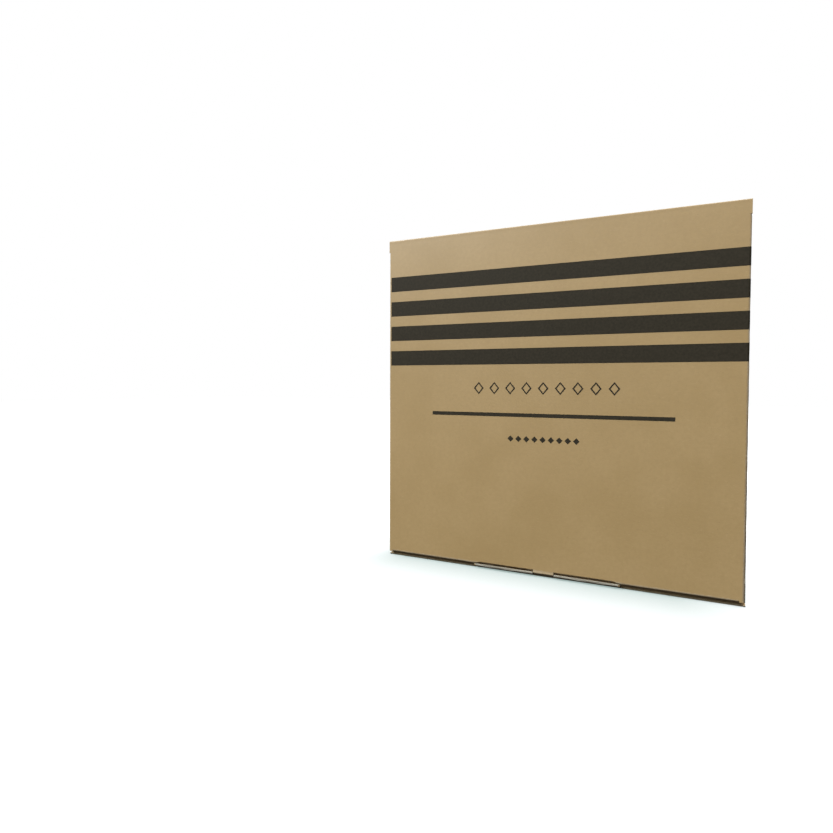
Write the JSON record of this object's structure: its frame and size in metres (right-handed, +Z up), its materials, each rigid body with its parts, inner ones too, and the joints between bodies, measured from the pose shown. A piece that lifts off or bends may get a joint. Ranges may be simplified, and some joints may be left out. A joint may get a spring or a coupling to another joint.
{
  "type": "pizza box",
  "caption": "Flat square corrugated pizza box with a hinged lid, a folded double front wall and lock tabs, standing shut on its front wall.",
  "frame": {"origin": "on the floor under the middle of the shut box, which stands on its front wall", "axes": "+X along the box's width, +Y from the lid's face to the bottom panel, +Z up from the front wall to the rear crease"},
  "size_m": [0.33, 0.0351, 0.33],
  "materials": {
    "kraft_board": "uncoated brown kraft liner, matte",
    "print_ink": "dark brown-black flexo ink, satin"
  },
  "bodies": {
    "tray": {"tray": "kraft_board"},
    "lid": {"lid": "kraft_board", "lid_stripes": "print_ink", "lid_rule": "print_ink", "lid_lozenges": "print_ink"}
  },
  "joints": [
    {"name": "lid_hinge", "type": "hinge", "parent": "tray", "child": "lid", "pos_m": [0, -0.01675, 0.32925], "axis": [-1, 0, 0], "range_deg": [0, 180]}
  ]
}
